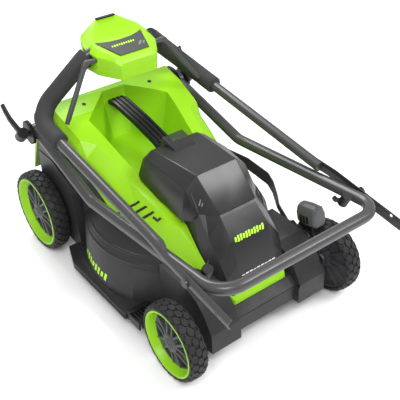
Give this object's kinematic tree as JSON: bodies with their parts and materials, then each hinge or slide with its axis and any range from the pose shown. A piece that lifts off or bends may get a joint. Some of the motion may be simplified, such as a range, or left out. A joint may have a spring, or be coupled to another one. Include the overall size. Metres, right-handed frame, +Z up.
{
  "type": "push lawn mower",
  "caption": "Battery-driven walk-behind mower with a domed deck, hinged battery hood, toothed tyres and a two-stage tubular handle folded forwards over the body for storage",
  "frame": {"origin": "on the ground under the centre of the bounding box of the folded machine", "axes": "+Z is up, -Y is the front of the mower, +X is the operator's left; the machine is longest along Y"},
  "size_m": [0.4718, 0.7759, 0.511],
  "materials": {
    "green_plastic": "lime green moulded plastic, semi-gloss",
    "charcoal_plastic": "dark grey moulded plastic with a fine grain",
    "black_plastic": "black moulded plastic, satin",
    "tube_paint": "dark grey powder coat on metal tube",
    "tyre_rubber": "black rubber",
    "grip_foam": "closed-cell foam, matt",
    "bare_steel": "zinc-plated steel",
    "blade_paint": "black painted steel with ground edges",
    "smoked_lid": "smoky translucent plastic, glossy",
    "aluminium_case": "plain cast aluminium",
    "lever_grey": "grey moulded plastic"
  },
  "bodies": {
    "deck": {"deck_shell": "charcoal_plastic", "top_cover": "green_plastic", "motor_cover": "charcoal_plastic", "battery_bay": "black_plastic", "battery_pack": "black_plastic", "safety_key": "green_plastic", "carry_handle": "black_plastic", "motor_can": "aluminium_case", "control_module": "aluminium_case", "height_rack": "black_plastic", "left_edge_comb": "black_plastic", "right_edge_comb": "black_plastic", "left_handle_bracket": "black_plastic", "right_handle_bracket": "black_plastic", "left_deck_bolt": "bare_steel", "right_deck_bolt": "bare_steel", "left_pivot_disc": "black_plastic", "right_pivot_disc": "black_plastic", "flap_hinge_rod": "bare_steel"},
    "lower_handle": {"lower_handle_tube": "tube_paint", "left_fold_bolt": "bare_steel", "right_fold_bolt": "bare_steel"},
    "upper_handle": {"upper_handle_tube": "tube_paint", "left_grip_foam": "grip_foam", "right_grip_foam": "grip_foam", "switch_box_upper": "green_plastic", "switch_box_lower": "green_plastic", "label_panel": "charcoal_plastic"},
    "bail": {"bail_lever": "tube_paint"},
    "button": {"start_button": "black_plastic"},
    "lid": {"battery_lid": "smoked_lid"},
    "flap": {"rear_flap": "green_plastic"},
    "left_deck_cam": {"left_deck_cam_lever": "black_plastic"},
    "right_deck_cam": {"right_deck_cam_lever": "black_plastic"},
    "left_fold_cam": {"left_fold_cam_lever": "black_plastic"},
    "right_fold_cam": {"right_fold_cam_lever": "black_plastic"},
    "front_crank": {"front_axle": "bare_steel", "height_lever": "black_plastic", "height_lever_knob": "lever_grey"},
    "rear_crank": {"rear_axle": "bare_steel", "rear_link_arm": "black_plastic"},
    "link": {"height_link_bar": "tube_paint"},
    "front_left_wheel": {"front_left_tyre": "tyre_rubber", "front_left_rim": "green_plastic", "front_left_hub": "charcoal_plastic"},
    "front_right_wheel": {"front_right_tyre": "tyre_rubber", "front_right_rim": "green_plastic", "front_right_hub": "charcoal_plastic"},
    "rear_left_wheel": {"rear_left_tyre": "tyre_rubber", "rear_left_rim": "green_plastic", "rear_left_hub": "charcoal_plastic"},
    "rear_right_wheel": {"rear_right_tyre": "tyre_rubber", "rear_right_rim": "green_plastic", "rear_right_hub": "charcoal_plastic"},
    "rotor": {"motor_shaft": "bare_steel", "blade_carrier": "aluminium_case", "blade": "blade_paint", "blade_bolt": "bare_steel"}
  },
  "joints": [
    {"name": "handle_fold", "type": "hinge", "parent": "deck", "child": "lower_handle", "pos_m": [0, 0.2875, 0.302], "axis": [-1, 0, 0], "range_deg": [0, 136]},
    {"name": "upper_fold", "type": "hinge", "parent": "lower_handle", "child": "upper_handle", "pos_m": [0, -0.2768, 0.2686], "axis": [1, 0, 0], "range_deg": [0, 168]},
    {"name": "bail_squeeze", "type": "hinge", "parent": "upper_handle", "child": "bail", "pos_m": [0, 0.2035, 0.4585], "axis": [1, 0, 0], "range_deg": [0, 26], "stiffness_Nm_per_rad": 1, "springref_deg": -17.19},
    {"name": "start_press", "type": "slide", "parent": "upper_handle", "child": "button", "axis": [0, -1, 0], "range_m": [0, 0.003], "stiffness_N_per_m": 300, "springref_m": -0.002},
    {"name": "lid_open", "type": "hinge", "parent": "deck", "child": "lid", "pos_m": [0, -0.1625, 0.262], "axis": [1, 0, 0], "range_deg": [0, 75]},
    {"name": "flap_open", "type": "hinge", "parent": "deck", "child": "flap", "pos_m": [0, 0.332, 0.29], "axis": [1, 0, 0], "range_deg": [0, 70], "stiffness_Nm_per_rad": 0.3, "springref_deg": -28.65},
    {"name": "left_deck_release", "type": "hinge", "parent": "deck", "child": "left_deck_cam", "pos_m": [0.2215, 0.2875, 0.302], "axis": [0, 0.722, -0.6919], "range_deg": [0, 90]},
    {"name": "right_deck_release", "type": "hinge", "parent": "deck", "child": "right_deck_cam", "pos_m": [-0.2215, 0.2875, 0.302], "axis": [0, -0.722, 0.6919], "range_deg": [0, 90]},
    {"name": "left_fold_release", "type": "hinge", "parent": "lower_handle", "child": "left_fold_cam", "pos_m": [0.1678, -0.2768, 0.2686], "axis": [0, -0.4191, 0.908], "range_deg": [0, 90]},
    {"name": "right_fold_release", "type": "hinge", "parent": "lower_handle", "child": "right_fold_cam", "pos_m": [-0.1678, -0.2768, 0.2686], "axis": [0, 0.4191, -0.908], "range_deg": [0, 90]},
    {"name": "height_adjust", "type": "hinge", "parent": "deck", "child": "front_crank", "pos_m": [0, -0.17, 0.056], "axis": [1, 0, 0], "range_deg": [0, 54]},
    {"name": "rear_height", "type": "hinge", "parent": "deck", "child": "rear_crank", "pos_m": [0, 0.343, 0.069], "axis": [1, 0, 0], "range_deg": [0, 54]},
    {"name": "link_pin", "type": "hinge", "parent": "front_crank", "child": "link", "pos_m": [0, -0.16, 0.116], "axis": [1, 0, 0], "range_deg": [-54, 0]},
    {"name": "front_left_spin", "type": "hinge", "parent": "front_crank", "child": "front_left_wheel", "pos_m": [0.2, -0.219, 0.081], "axis": [1, 0, 0], "continuous": true},
    {"name": "front_right_spin", "type": "hinge", "parent": "front_crank", "child": "front_right_wheel", "pos_m": [-0.2, -0.219, 0.081], "axis": [1, 0, 0], "continuous": true},
    {"name": "rear_left_spin", "type": "hinge", "parent": "rear_crank", "child": "rear_left_wheel", "pos_m": [0.2, 0.294, 0.094], "axis": [1, 0, 0], "continuous": true},
    {"name": "rear_right_spin", "type": "hinge", "parent": "rear_crank", "child": "rear_right_wheel", "pos_m": [-0.2, 0.294, 0.094], "axis": [1, 0, 0], "continuous": true},
    {"name": "blade_spin", "type": "hinge", "parent": "deck", "child": "rotor", "pos_m": [0, 0.045, 0.06], "axis": [0, 0, 1], "continuous": true}
  ],
  "couplings": [
    {"joint": "rear_height", "follows": "height_adjust", "ratio": 1},
    {"joint": "link_pin", "follows": "height_adjust", "ratio": -1}
  ]
}
